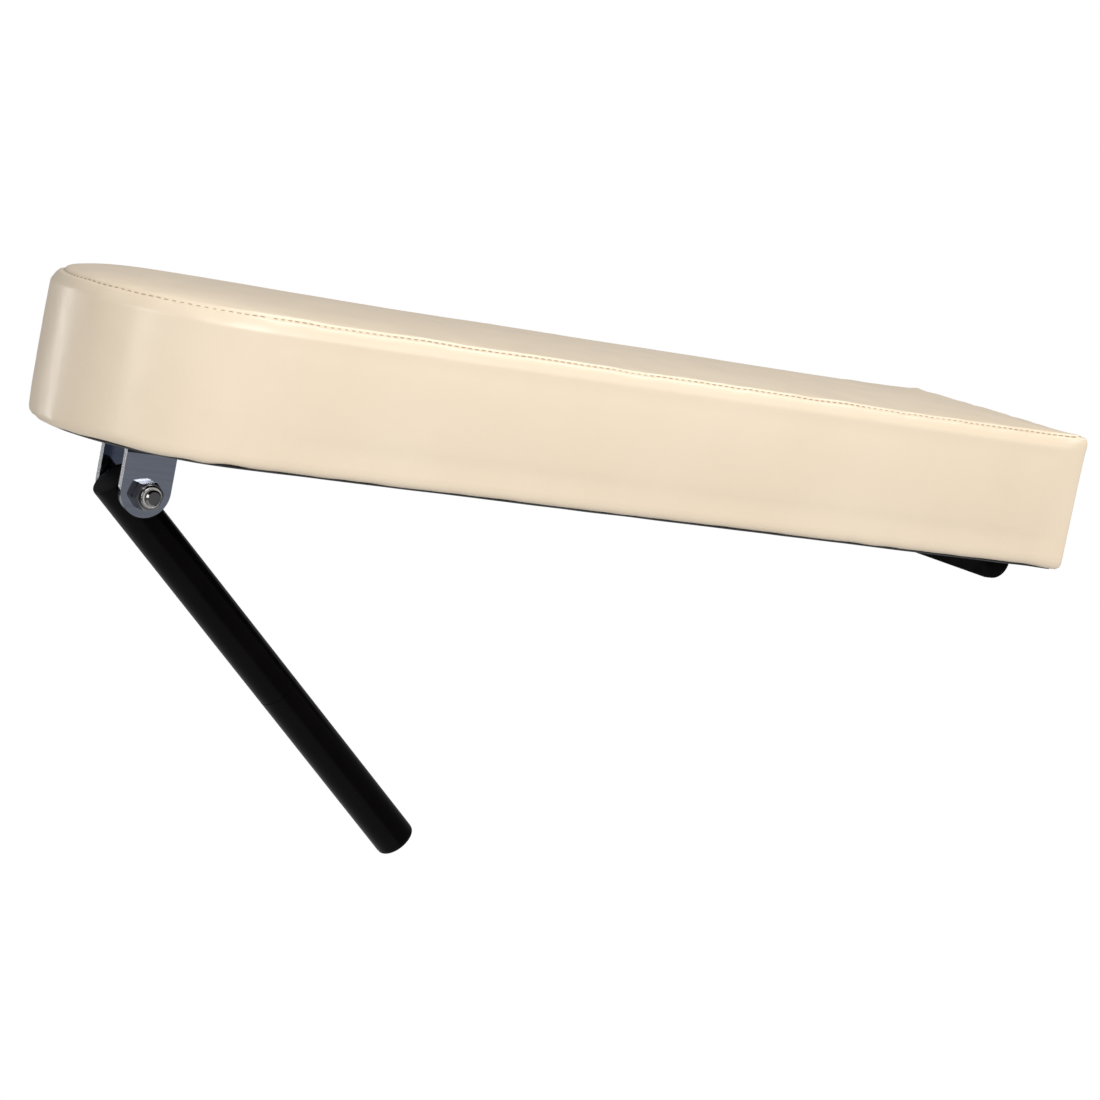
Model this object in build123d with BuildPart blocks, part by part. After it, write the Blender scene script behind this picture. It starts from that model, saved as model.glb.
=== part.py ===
"""Narrow upholstered pad on a hinged round post, for a treatment bed.

The pad is a plywood board with a foam block under a sewn cover. A steel U-bracket under the round end
holds the post on one bolt, so the post folds flat under the pad or stands square to it. A bar under the
square end rests the pad on the bed.

Frame: millimetres, +Z up and square to the pad, +X from the pad's round end to its square end. The origin
is the centre of the post tube's lower end, where the post goes into the bed's socket.
"""

import os
from math import cos, pi, radians, sin

from build123d import *

# ---------------------------------------------------------------- driving dimensions

PAD_LENGTH = 569.0
PAD_WIDTH = 153.0
PAD_HEIGHT = 72.0  # underside edge to top seam
PAD_CORNER = 4.0  # plan radius of the two corners at the square end

COVER_THICKNESS = 1.0
COVER_TURN_UNDER = 22.0  # width of cover folded under the board
BOARD_THICKNESS = 12.0
BOARD_EASE = 3.0  # radius of the board's lower edge, which the cover is pulled round
DUST_COVER_THICKNESS = 1.5
DUST_COVER_INSET = 4.0

PIVOT_FROM_ROUND_END = 54.0
PIVOT_DROP = 26.7  # pad's underside edge to bolt axis
POST_ANGLE = 41.0  # post below the pad's underside, at rest
POST_REACH = 245.3  # along the post, bolt axis to the tube's lower end
POST_TOP_OVERHANG = 10.9  # along the post, bolt axis to the tube's upper end
BOLT_OFFSET = 5.3  # the bolt crosses the tube beside its centre line, on the pad's side

TUBE_DIAMETER = 21.3
TUBE_WALL = 1.2
LOWER_PLUG_FLANGE = 2.0
UPPER_PLUG_FLANGE = 1.0
LOWER_PLUG_DEPTH = 16.0
UPPER_PLUG_DEPTH = 5.0
PLUG_CLEARANCE = 0.05
PLUG_FLANGE_STEP = 0.15  # flange radius under the tube's
SEAT_LENGTH = 110.0  # stretch of post that goes into the bed's socket
SEAT_GROOVE_WIDTH = 1.2
SEAT_GROOVE_DEPTH = 0.2

BRACKET_PLATE = 3.5
BRACKET_GAP = 23.0  # between the ears
BRACKET_LENGTH = 54.0
BRACKET_BEND = 6.5  # outer radius of the two bends
BRACKET_CORNER = 4.0
EAR_RADIUS = 13.3
EAR_HOLE_DROP = 1.8  # bolt axis below the centre of the ear's round end
BRACKET_SCREW_SPACING = 36.0

BOLT_RADIUS = 4.0
BOLT_CLEARANCE = 0.05
HEX_ACROSS_FLATS = 13.0
BOLT_HEAD_HEIGHT = 5.3
NUT_HEX_HEIGHT = 6.0
NUT_HEIGHT = 8.0
BOLT_TIP = 2.4  # bolt standing out of the nut
THREAD_PITCH = 1.25
BOLT_TIP_CHAMFER = 0.8
THREAD_DEPTH = 0.45
HOLE_CLEARANCE = 0.2  # radial, bolt in the ears
NUT_TURN = 12.0  # degrees, how the nut happens to stand on the bolt
NUT_CONE_WIDE = 7.7  # the turned cones on the hexagon's two faces, from this radius
NUT_FACE_CONE = 1.4  # in by this much
NUT_FACE_CONE_DEPTH = 0.8
NUT_COLLAR_RADIUS = 5.8
NUT_COLLAR_ROUND = 0.9
INSERT_WALL = 1.1
INSERT_SUNK = 0.4
SPACER_RADIUS = 8.0
SPACER_CLEARANCE = 0.3

SCREW_RADIUS = 3.0
SCREW_LENGTH = 16.0
SCREW_HEAD_RADIUS = 5.6
SCREW_HEAD_HEIGHT = 2.8  # countersunk, flush with the bracket plate
SCREW_HOLE_CLEARANCE = 0.25
RECESS_SPAN = 6.0  # cross recess in the bracket screws' heads
RECESS_WIDTH = 1.1
RECESS_DEPTH = 1.8
TEE_FLANGE_RADIUS = 9.5
TEE_FLANGE_THICKNESS = 1.5
TEE_BARREL_RADIUS = 3.9
TEE_BARREL_LENGTH = 9.0
TEE_PRONG_THICKNESS = 1.2
TEE_PRONG_WIDTH = 3.0

REST_BAR_LENGTH = 111.0
REST_BAR_WIDTH = 15.5
REST_BAR_DEPTH = 10.8
REST_BAR_FROM_SQUARE_END = 32.0  # its flat face to the pad's square end
REST_SCREW_SPACING = 38.0
REST_SCREW_RADIUS = 2.0
REST_SCREW_LENGTH = 20.0
REST_SCREW_FROM_MIDDLE = 1.5  # the screws' row lies this much nearer the bar's flat face
REST_SCREW_HEAD_RADIUS = 4.0
REST_SCREW_HEAD_HEIGHT = 2.4
REST_SCREW_HEAD_ROUND = 1.2
REST_POCKET_RADIUS = 4.2
REST_POCKET_DEPTH = 4.0
REST_RECESS_SPAN = 4.0
REST_RECESS_WIDTH = 0.8
REST_RECESS_DEPTH = 1.4
REST_NOSE_RADIUS = 10.2
REST_FLAT_EDGE_ROUND = 0.8

STAPLE_CROWN = 10.0
STAPLE_WIRE = 0.8
STAPLE_LEG = 8.0
COVER_STAPLE_INSET = 17.0
COVER_STAPLE_PITCH = 34.0
DUST_STAPLE_INSET = 12.0
DUST_STAPLE_PITCH = 46.0

# ---------------------------------------------------------------- derived places

PIVOT_X = -POST_REACH * cos(radians(POST_ANGLE)) + BOLT_OFFSET * sin(radians(POST_ANGLE))
PIVOT_Z = POST_REACH * sin(radians(POST_ANGLE)) + BOLT_OFFSET * cos(radians(POST_ANGLE))
START_X = PIVOT_X - PIVOT_FROM_ROUND_END
END_X = START_X + PAD_LENGTH
BASE_Z = PIVOT_Z + PIVOT_DROP
BOARD_Z = BASE_Z + COVER_THICKNESS
FOAM_Z = BOARD_Z + BOARD_THICKNESS
TOP_Z = BASE_Z + PAD_HEIGHT
DUST_Z = BASE_Z - DUST_COVER_THICKNESS
PLATE_Z = DUST_Z - BRACKET_PLATE
EAR_OUT = BRACKET_GAP / 2 + BRACKET_PLATE  # centre plane to an ear's outer face
EAR_BOTTOM = PIVOT_Z + EAR_HOLE_DROP - EAR_RADIUS
TUBE_RADIUS = TUBE_DIAMETER / 2
BORE_RADIUS = TUBE_RADIUS - TUBE_WALL
BAR_X = END_X - REST_BAR_FROM_SQUARE_END

# The post's own frame: its origin is the tube's lower end, its +Z runs up the tube to the bolt.
POST_END = Plane(
    origin=(0, 0, 0),
    x_dir=(0, 1, 0),
    z_dir=(-cos(radians(POST_ANGLE)), 0, sin(radians(POST_ANGLE))),
)
TUBE_LENGTH = POST_REACH + POST_TOP_OVERHANG
BRACKET_SCREW_PLACES = [(PIVOT_X + side * BRACKET_SCREW_SPACING / 2, 0) for side in (-1, 1)]
REST_SCREW_X = BAR_X + REST_BAR_WIDTH / 2 - REST_SCREW_FROM_MIDDLE
REST_SCREW_PLACES = [(REST_SCREW_X, step * REST_SCREW_SPACING) for step in (-1, 0, 1)]


def pad_plan(inset):
    """Draw the pad's plan in the open sketch, drawn in by inset: a half-round end and a square end."""
    half = PAD_WIDTH / 2 - inset
    corner = max(PAD_CORNER - inset, 0.5)
    turn_x = START_X + PAD_WIDTH / 2
    far_x = END_X - inset
    with BuildLine() as outline:
        near = Line((turn_x, -half), (far_x - corner, -half))
        first = RadiusArc(near @ 1, (far_x, -half + corner), -corner)
        end = Line(first @ 1, (far_x, half - corner))
        second = RadiusArc(end @ 1, (far_x - corner, half), -corner)
        far = Line(second @ 1, (turn_x, half))
        ThreePointArc(far @ 1, (turn_x - half, 0), near @ 0)
    make_face(outline.edges())


def staple_places(inset, pitch):
    """Return (x, y, angle) at even steps round the pad's plan, drawn in by inset."""
    half = PAD_WIDTH / 2 - inset
    turn_x = START_X + PAD_WIDTH / 2
    far_x = END_X - inset
    places = []
    straight = far_x - turn_x - pitch
    count = round(straight / pitch)
    for step in range(count + 1):
        x = turn_x + pitch / 2 + step * straight / count
        places += [(x, -half, 0), (x, half, 0)]
    across = round(2 * half / pitch)
    for step in range(1, across):
        places.append((far_x, -half + step * 2 * half / across, 90))
    around = round(pi * half / pitch)
    for step in range(around + 1):
        turn = 90 + 180 * step / around
        places.append((turn_x + half * cos(radians(turn)), half * sin(radians(turn)), turn + 90))
    return places


# ---------------------------------------------------------------- pad

with BuildPart() as tee_nuts:
    with BuildSketch(Plane.XY.offset(FOAM_Z - TEE_FLANGE_THICKNESS)):
        with Locations(BRACKET_SCREW_PLACES):
            Circle(TEE_FLANGE_RADIUS)
    extrude(amount=TEE_FLANGE_THICKNESS)
    with BuildSketch(Plane.XY.offset(FOAM_Z - TEE_FLANGE_THICKNESS)):
        with Locations(BRACKET_SCREW_PLACES):
            Circle(TEE_BARREL_RADIUS)
            with PolarLocations(TEE_FLANGE_RADIUS - TEE_PRONG_THICKNESS, 4, start_angle=45):
                Rectangle(TEE_PRONG_THICKNESS, TEE_PRONG_WIDTH)
    extrude(amount=-TEE_BARREL_LENGTH)
    with BuildSketch(Plane.XY.offset(FOAM_Z)):
        with Locations(BRACKET_SCREW_PLACES):
            Circle(SCREW_RADIUS)
    extrude(amount=-(TEE_FLANGE_THICKNESS + TEE_BARREL_LENGTH), mode=Mode.SUBTRACT)

with BuildPart() as base_board:
    with BuildSketch(Plane.XY.offset(BOARD_Z)):
        pad_plan(COVER_THICKNESS)
    extrude(amount=BOARD_THICKNESS)
    fillet(base_board.edges().group_by(Axis.Z)[0], BOARD_EASE)
    with BuildSketch(Plane.XY.offset(FOAM_Z)):
        with Locations(BRACKET_SCREW_PLACES):
            Circle(TEE_FLANGE_RADIUS)
    extrude(amount=-TEE_FLANGE_THICKNESS, mode=Mode.SUBTRACT)
    with BuildSketch(Plane.XY.offset(BOARD_Z)):
        with Locations(BRACKET_SCREW_PLACES):
            Circle(TEE_BARREL_RADIUS)
    extrude(amount=BOARD_THICKNESS, mode=Mode.SUBTRACT)
    with BuildSketch(Plane.XY.offset(BOARD_Z)):
        with Locations(REST_SCREW_PLACES):
            Circle(REST_SCREW_RADIUS)
    extrude(amount=BOARD_THICKNESS - 1.0, mode=Mode.SUBTRACT)

with BuildPart() as foam_block:
    with BuildSketch(Plane.XY.offset(FOAM_Z)):
        pad_plan(COVER_THICKNESS)
    extrude(amount=TOP_Z - COVER_THICKNESS - FOAM_Z)

with BuildPart() as cover_top_panel:
    with BuildSketch(Plane.XY.offset(TOP_Z - COVER_THICKNESS)):
        pad_plan(0)
    extrude(amount=COVER_THICKNESS)

# The side band is one strip round the pad, with its lower edge folded in under the board.
with BuildPart() as cover_side_band:
    with BuildSketch(Plane.XY.offset(BASE_Z)):
        pad_plan(0)
    extrude(amount=PAD_HEIGHT - COVER_THICKNESS)
    fillet(cover_side_band.edges().group_by(Axis.Z)[0], BOARD_EASE + COVER_THICKNESS)
    with BuildPart(mode=Mode.SUBTRACT) as filling:
        with BuildSketch(Plane.XY.offset(BOARD_Z)):
            pad_plan(COVER_THICKNESS)
        extrude(amount=PAD_HEIGHT)
        fillet(filling.edges().group_by(Axis.Z)[0], BOARD_EASE)
    with BuildSketch(Plane.XY.offset(BASE_Z)):
        pad_plan(COVER_TURN_UNDER)
    extrude(amount=COVER_THICKNESS, mode=Mode.SUBTRACT)

with BuildPart() as dust_cover:
    with BuildSketch(Plane.XY.offset(DUST_Z)):
        pad_plan(DUST_COVER_INSET)
    extrude(amount=DUST_COVER_THICKNESS)
    with BuildSketch(Plane.XY.offset(DUST_Z)):
        with Locations(BRACKET_SCREW_PLACES):
            Circle(SCREW_RADIUS)
        with Locations(REST_SCREW_PLACES):
            Circle(REST_SCREW_RADIUS)
    extrude(amount=DUST_COVER_THICKNESS, mode=Mode.SUBTRACT)


def staples(crown_z, places):
    """Return a part of wire staples whose crowns lie under crown_z and whose legs point up."""
    spots = [Location((x, y, 0), (0, 0, 1), angle) for x, y, angle in places]
    with BuildPart() as group:
        with BuildSketch(Plane.XY.offset(crown_z - STAPLE_WIRE)):
            with Locations(spots):
                Rectangle(STAPLE_CROWN, STAPLE_WIRE)
        extrude(amount=STAPLE_WIRE)
        with BuildSketch(Plane.XY.offset(crown_z - STAPLE_WIRE)):
            with Locations(spots):
                with GridLocations(STAPLE_CROWN - STAPLE_WIRE, 0, 2, 1):
                    Rectangle(STAPLE_WIRE, STAPLE_WIRE)
        extrude(amount=STAPLE_LEG)
    return group


cover_staples = staples(BASE_Z, staple_places(COVER_STAPLE_INSET, COVER_STAPLE_PITCH))
# these are driven until their crowns are flush with the cloth
dust_cover_staples = staples(DUST_Z + STAPLE_WIRE, staple_places(DUST_STAPLE_INSET, DUST_STAPLE_PITCH))

# ---------------------------------------------------------------- hinge bracket

# One strip bent to a U: the plate lies along X under the board and the ears hang from its middle.
with BuildPart() as hinge_bracket:
    with BuildSketch(Plane.YZ.offset(PIVOT_X)):
        with Locations((0, (DUST_Z + EAR_BOTTOM) / 2)):
            Rectangle(2 * EAR_OUT, DUST_Z - EAR_BOTTOM)
    extrude(amount=EAR_RADIUS, both=True)
    fillet(hinge_bracket.edges().filter_by(Axis.X).group_by(Axis.Z)[-1], BRACKET_BEND)
    inner_depth = PLATE_Z - EAR_BOTTOM
    with BuildSketch(Plane.YZ.offset(PIVOT_X)):
        with Locations((0, PLATE_Z - inner_depth / 2)):
            gap = Rectangle(BRACKET_GAP, inner_depth)
        fillet(gap.vertices().group_by(Axis.Y)[-1], BRACKET_BEND - BRACKET_PLATE)
    extrude(amount=EAR_RADIUS + 1, both=True, mode=Mode.SUBTRACT)
    ear_ends = hinge_bracket.edges().filter_by(Axis.Y).group_by(Axis.Z)[0]
    fillet(ear_ends, EAR_RADIUS - 0.01)
    with BuildSketch(Plane.XY.offset(PLATE_Z)):
        with Locations((PIVOT_X, 0)):
            RectangleRounded(BRACKET_LENGTH, 2 * (EAR_OUT - BRACKET_BEND), BRACKET_CORNER)
    extrude(amount=BRACKET_PLATE)
    with BuildSketch(Plane.XY.offset(PLATE_Z)):
        with Locations(BRACKET_SCREW_PLACES):
            Circle(SCREW_RADIUS + SCREW_HOLE_CLEARANCE)
    extrude(amount=BRACKET_PLATE, mode=Mode.SUBTRACT)
    for x, y in BRACKET_SCREW_PLACES:
        with Locations((x, y, PLATE_Z + SCREW_HEAD_HEIGHT / 2)):
            Cone(SCREW_HEAD_RADIUS, SCREW_RADIUS, SCREW_HEAD_HEIGHT, mode=Mode.SUBTRACT)
    with BuildSketch(Plane.XZ):
        with Locations((PIVOT_X, PIVOT_Z)):
            Circle(BOLT_RADIUS + HOLE_CLEARANCE)
    extrude(amount=2 * EAR_OUT, both=True, mode=Mode.SUBTRACT)

# Countersunk screws, flush with the plate's underside, shanks up into the tee nuts.
with BuildPart() as bracket_screws:
    for x, y in BRACKET_SCREW_PLACES:
        with Locations((x, y, PLATE_Z + SCREW_HEAD_HEIGHT / 2)):
            Cone(SCREW_HEAD_RADIUS, SCREW_RADIUS, SCREW_HEAD_HEIGHT)
    with BuildSketch(Plane.XY.offset(PLATE_Z + SCREW_HEAD_HEIGHT)):
        with Locations(BRACKET_SCREW_PLACES):
            Circle(SCREW_RADIUS)
    extrude(amount=SCREW_LENGTH - SCREW_HEAD_HEIGHT)
    with BuildSketch(Plane.XY.offset(PLATE_Z)):
        for x, y in BRACKET_SCREW_PLACES:
            with Locations((x, y)):
                Rectangle(RECESS_SPAN, RECESS_WIDTH)
                Rectangle(RECESS_WIDTH, RECESS_SPAN)
    extrude(amount=RECESS_DEPTH, mode=Mode.SUBTRACT)

# The bolt runs along Y: its head is outside the far ear and the nut outside the near one.
PIVOT_PLANE = Plane(origin=(PIVOT_X, 0, PIVOT_Z), x_dir=(1, 0, 0), z_dir=(0, -1, 0))
BOLT_END = EAR_OUT + NUT_HEIGHT + BOLT_TIP

with BuildPart() as pivot_bolt:
    with BuildSketch(PIVOT_PLANE.offset(-EAR_OUT)):
        RegularPolygon(HEX_ACROSS_FLATS / 2, 6, major_radius=False)
    extrude(amount=-BOLT_HEAD_HEIGHT)
    with BuildSketch(PIVOT_PLANE.offset(-EAR_OUT)):
        Circle(BOLT_RADIUS)
    extrude(amount=EAR_OUT + BOLT_END)
    tip = pivot_bolt.edges().filter_by(GeomType.CIRCLE).sort_by(Axis.Y)[0]
    chamfer(tip, BOLT_TIP_CHAMFER)
    # thread grooves on the stub that stands out of the nut
    for ring in range(2):
        with BuildSketch(PIVOT_PLANE.offset(BOLT_END - BOLT_TIP_CHAMFER - 0.1 - ring * THREAD_PITCH / 2)):
            Circle(BOLT_RADIUS + 1)
            Circle(BOLT_RADIUS - THREAD_DEPTH, mode=Mode.SUBTRACT)
        extrude(amount=-THREAD_PITCH / 4, mode=Mode.SUBTRACT)

with BuildPart() as lock_nut:
    with BuildSketch(PIVOT_PLANE.offset(EAR_OUT)):
        RegularPolygon(HEX_ACROSS_FLATS / 2, 6, major_radius=False, rotation=NUT_TURN)
    extrude(amount=NUT_HEX_HEIGHT)
    # the hexagon's two faces are turned down to a cone
    nut_top = -EAR_OUT - NUT_HEX_HEIGHT
    wide = NUT_CONE_WIDE
    narrow = NUT_CONE_WIDE - NUT_FACE_CONE
    with BuildSketch(Plane(origin=(PIVOT_X, 0, PIVOT_Z), x_dir=(1, 0, 0), z_dir=(0, 0, 1))):
        with BuildLine():
            Polyline(
                (0, -EAR_OUT),
                (narrow, -EAR_OUT),
                (wide, -EAR_OUT - NUT_FACE_CONE_DEPTH),
                (wide, nut_top + NUT_FACE_CONE_DEPTH),
                (narrow, nut_top),
                (0, nut_top),
                close=True,
            )
        make_face()
    revolve(axis=Axis((PIVOT_X, 0, PIVOT_Z), (0, 1, 0)), mode=Mode.INTERSECT)
    with BuildSketch(PIVOT_PLANE.offset(EAR_OUT)):
        Circle(NUT_COLLAR_RADIUS)
    extrude(amount=NUT_HEIGHT)
    collar_rim = lock_nut.edges().filter_by(GeomType.CIRCLE).sort_by(Axis.Y)[0]
    fillet(collar_rim, NUT_COLLAR_ROUND)
    with BuildSketch(PIVOT_PLANE.offset(EAR_OUT)):
        Circle(BOLT_RADIUS)
    extrude(amount=NUT_HEIGHT + 1, mode=Mode.SUBTRACT)
    # pocket that holds the plastic ring
    with BuildSketch(PIVOT_PLANE.offset(EAR_OUT + NUT_HEX_HEIGHT - INSERT_SUNK)):
        Circle(BOLT_RADIUS + INSERT_WALL)
    extrude(amount=NUT_HEIGHT, mode=Mode.SUBTRACT)

with BuildPart() as lock_nut_insert:
    with BuildSketch(PIVOT_PLANE.offset(EAR_OUT + NUT_HEX_HEIGHT - INSERT_SUNK)):
        Circle(BOLT_RADIUS + INSERT_WALL)
        Circle(BOLT_RADIUS, mode=Mode.SUBTRACT)
    extrude(amount=NUT_HEIGHT - NUT_HEX_HEIGHT)

# Plastic washers fill the gap between the post and each ear.
SPACER_THICKNESS = BRACKET_GAP / 2 - TUBE_RADIUS - SPACER_CLEARANCE
with BuildPart() as spacer_washers:
    for side in (-1, 1):
        with BuildSketch(PIVOT_PLANE.offset(side * BRACKET_GAP / 2)):
            Circle(SPACER_RADIUS)
            Circle(BOLT_RADIUS + HOLE_CLEARANCE, mode=Mode.SUBTRACT)
        extrude(amount=-side * SPACER_THICKNESS)

# ---------------------------------------------------------------- post

with BuildPart() as post_tube:
    with BuildSketch(POST_END):
        Circle(TUBE_RADIUS)
        Circle(BORE_RADIUS, mode=Mode.SUBTRACT)
    extrude(amount=TUBE_LENGTH)
    # a fine turned line shows how far the post goes into its socket
    with BuildSketch(POST_END.offset(SEAT_LENGTH)):
        Circle(TUBE_RADIUS + 1)
        Circle(TUBE_RADIUS - SEAT_GROOVE_DEPTH, mode=Mode.SUBTRACT)
    extrude(amount=SEAT_GROOVE_WIDTH, mode=Mode.SUBTRACT)
    with BuildSketch(PIVOT_PLANE):
        Circle(BOLT_RADIUS + BOLT_CLEARANCE)
    extrude(amount=TUBE_DIAMETER, both=True, mode=Mode.SUBTRACT)


def end_plug(mouth, depth, flange):
    """Return a plug: a stem that goes depth up the plane's normal, and a rounded flange outside the mouth."""
    with BuildPart() as plug:
        with BuildSketch(mouth):
            Circle(BORE_RADIUS - PLUG_CLEARANCE)
        extrude(amount=depth)
        with BuildSketch(mouth):
            Circle(TUBE_RADIUS - PLUG_FLANGE_STEP)
        extrude(amount=-flange)
        outer_rim = plug.edges().filter_by(GeomType.CIRCLE).sort_by(Axis(mouth.origin, mouth.z_dir))[0]
        fillet(outer_rim, flange / 2)
    return plug


lower_plug = end_plug(POST_END, LOWER_PLUG_DEPTH, LOWER_PLUG_FLANGE)
TUBE_TOP = Plane(origin=POST_END.offset(TUBE_LENGTH).origin, x_dir=(0, 1, 0), z_dir=-POST_END.z_dir)
upper_plug = end_plug(TUBE_TOP, UPPER_PLUG_DEPTH, UPPER_PLUG_FLANGE)

# ---------------------------------------------------------------- rest bar

# The bar has a flat face towards the post and a quarter-round nose towards the square end.
with BuildPart() as rest_bar:
    with BuildSketch(Plane.XZ):
        with Locations((BAR_X + REST_BAR_WIDTH / 2, DUST_Z - REST_BAR_DEPTH / 2)):
            Rectangle(REST_BAR_WIDTH, REST_BAR_DEPTH)
    extrude(amount=REST_BAR_LENGTH / 2, both=True)
    lower_edges = rest_bar.edges().filter_by(Axis.Y).group_by(Axis.Z)[0].sort_by(Axis.X)
    fillet(lower_edges[-1], REST_NOSE_RADIUS)
    flat_edge = rest_bar.edges().filter_by(Axis.Y).group_by(Axis.Z)[0].sort_by(Axis.X)[0]
    fillet(flat_edge, REST_FLAT_EDGE_ROUND)
    with BuildSketch(Plane.XY.offset(DUST_Z - REST_BAR_DEPTH)):
        with Locations(REST_SCREW_PLACES):
            Circle(REST_SCREW_RADIUS)
    extrude(amount=REST_BAR_DEPTH, mode=Mode.SUBTRACT)
    with BuildSketch(Plane.XY.offset(DUST_Z - REST_BAR_DEPTH)):
        with Locations(REST_SCREW_PLACES):
            Circle(REST_POCKET_RADIUS)
    extrude(amount=REST_POCKET_DEPTH, mode=Mode.SUBTRACT)

POCKET_Z = DUST_Z - REST_BAR_DEPTH + REST_POCKET_DEPTH
with BuildPart() as rest_bar_screws:
    with BuildSketch(Plane.XY.offset(POCKET_Z - REST_SCREW_HEAD_HEIGHT)):
        with Locations(REST_SCREW_PLACES):
            Circle(REST_SCREW_HEAD_RADIUS)
    extrude(amount=REST_SCREW_HEAD_HEIGHT)
    fillet(rest_bar_screws.edges().filter_by(GeomType.CIRCLE).group_by(Axis.Z)[0], REST_SCREW_HEAD_ROUND)
    with BuildSketch(Plane.XY.offset(POCKET_Z)):
        with Locations(REST_SCREW_PLACES):
            Circle(REST_SCREW_RADIUS)
    extrude(amount=REST_SCREW_LENGTH - REST_POCKET_DEPTH)
    with BuildSketch(Plane.XY.offset(POCKET_Z - REST_SCREW_HEAD_HEIGHT)):
        for x, y in REST_SCREW_PLACES:
            with Locations((x, y)):
                Rectangle(REST_RECESS_SPAN, REST_RECESS_WIDTH)
                Rectangle(REST_RECESS_WIDTH, REST_RECESS_SPAN)
    extrude(amount=REST_RECESS_DEPTH, mode=Mode.SUBTRACT)

# ---------------------------------------------------------------- files

PIECES = {
    "base_board": base_board,
    "foam_block": foam_block,
    "cover_top_panel": cover_top_panel,
    "cover_side_band": cover_side_band,
    "cover_staples": cover_staples,
    "dust_cover": dust_cover,
    "dust_cover_staples": dust_cover_staples,
    "tee_nuts": tee_nuts,
    "hinge_bracket": hinge_bracket,
    "bracket_screws": bracket_screws,
    "pivot_bolt": pivot_bolt,
    "lock_nut": lock_nut,
    "lock_nut_insert": lock_nut_insert,
    "spacer_washers": spacer_washers,
    "post_tube": post_tube,
    "post_upper_plug": upper_plug,
    "post_lower_plug": lower_plug,
    "rest_bar": rest_bar,
    "rest_bar_screws": rest_bar_screws,
}

os.makedirs("parts", exist_ok=True)
for label, piece in PIECES.items():
    piece.part.label = label
    export_step(piece.part, f"parts/{label}.step")
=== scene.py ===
"""Looks of the hinged rest pad: upholstery over the CAD frame, finishes, studio and camera.

The upholstery is one surface over two coordinates: stations round the pad's plan, and rows across its
profile from the fold under the board, up the side, over the seam and in to the pad's middle line. A cloth
simulation swells a plain grid of it, and the finished pieces are finer grids that follow that result.
"""

import bisect
import math

import bmesh
import bpy
from mathutils import Matrix, Vector, noise
from mathutils.kdtree import KDTree


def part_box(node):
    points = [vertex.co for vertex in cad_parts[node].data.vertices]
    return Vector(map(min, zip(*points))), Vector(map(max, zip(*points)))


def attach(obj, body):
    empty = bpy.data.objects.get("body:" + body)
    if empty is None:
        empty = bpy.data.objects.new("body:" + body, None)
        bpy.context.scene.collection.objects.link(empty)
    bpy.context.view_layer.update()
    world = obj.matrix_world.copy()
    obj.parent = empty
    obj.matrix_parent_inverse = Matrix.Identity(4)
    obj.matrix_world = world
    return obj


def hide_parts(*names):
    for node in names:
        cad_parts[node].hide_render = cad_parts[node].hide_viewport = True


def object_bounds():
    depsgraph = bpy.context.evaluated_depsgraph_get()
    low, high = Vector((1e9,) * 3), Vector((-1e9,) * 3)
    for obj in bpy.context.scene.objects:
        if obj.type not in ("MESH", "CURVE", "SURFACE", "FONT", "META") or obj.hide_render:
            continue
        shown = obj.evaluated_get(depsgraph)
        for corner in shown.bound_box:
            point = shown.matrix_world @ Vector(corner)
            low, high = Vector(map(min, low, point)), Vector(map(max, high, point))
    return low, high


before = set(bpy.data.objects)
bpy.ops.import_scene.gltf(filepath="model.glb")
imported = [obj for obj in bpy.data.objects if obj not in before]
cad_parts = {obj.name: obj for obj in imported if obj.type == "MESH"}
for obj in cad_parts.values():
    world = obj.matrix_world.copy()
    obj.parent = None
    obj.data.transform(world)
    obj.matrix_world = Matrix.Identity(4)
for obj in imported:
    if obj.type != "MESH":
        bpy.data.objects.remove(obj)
cad_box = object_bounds()

MM = 0.001

# ---------------------------------------------------------------- places, from the frame

band_low, band_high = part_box("cover_side_band")
dust_low, dust_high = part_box("dust_cover")
START_X = band_low.x
END_X = band_high.x
HALF = band_high.y
TURN_X = START_X + HALF
BASE_Z = band_low.z
TOP_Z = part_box("cover_top_panel")[1].z
FOAM_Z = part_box("base_board")[1].z  # the board's upper face, where the foam starts

# ---------------------------------------------------------------- upholstery sizes

SKIN = 0.8 * MM
TURN_UNDER = 21.0 * MM  # cover folded in under the board
BOTTOM_ROUND = 4.0 * MM
RIDGE = 4.0 * MM  # radius of the ridge where the side wall turns in to the seam
RIDGE_TURN = math.radians(24)
SLOPE = 19.8 * MM  # radius of the slope from the ridge up to the seam
SEAM_TURN = math.radians(46)
PANEL_RISE = 1.3 * MM  # quick rise of the top panel just inside the seam, over PANEL_REACH
PANEL_REACH = 8.0 * MM
CROWN = 0.8 * MM

CORNER = 1.6 * MM  # radius of the square end's two corners in plan
CORNER_REACH = 13.0 * MM  # the edge's inset closes up over this distance from a corner
CORNER_FADE = 5.0 * MM  # and that dies out over this distance inside the seam
CORNER_STAND = 1.4 * MM  # the gathered cloth stands this far off a corner
CORNER_DROP = 1.1 * MM  # and hangs this far down at its foot
CORNER_WIDTH = 9.0 * MM
CORNER_FOOT = 6.0 * MM
EAR = 1.8 * MM  # the point that the cover is drawn out to at the top of a corner
EAR_WIDTH = 7.0 * MM

ROUND_END_RISE = 3.2 * MM  # the top panel's extra fullness over the round end
ROUND_END_REACH = 40.0 * MM  # halved this far along the straight part
ROUND_END_FADE = 45.0 * MM
ROUND_END_ROLL = 11.0 * MM
END_BOW = 1.5 * MM  # rise of the square end's top edge between its corners
END_BOW_WIDTH = 22.0 * MM
END_BOW_DEPTH = 14.0 * MM

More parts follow.
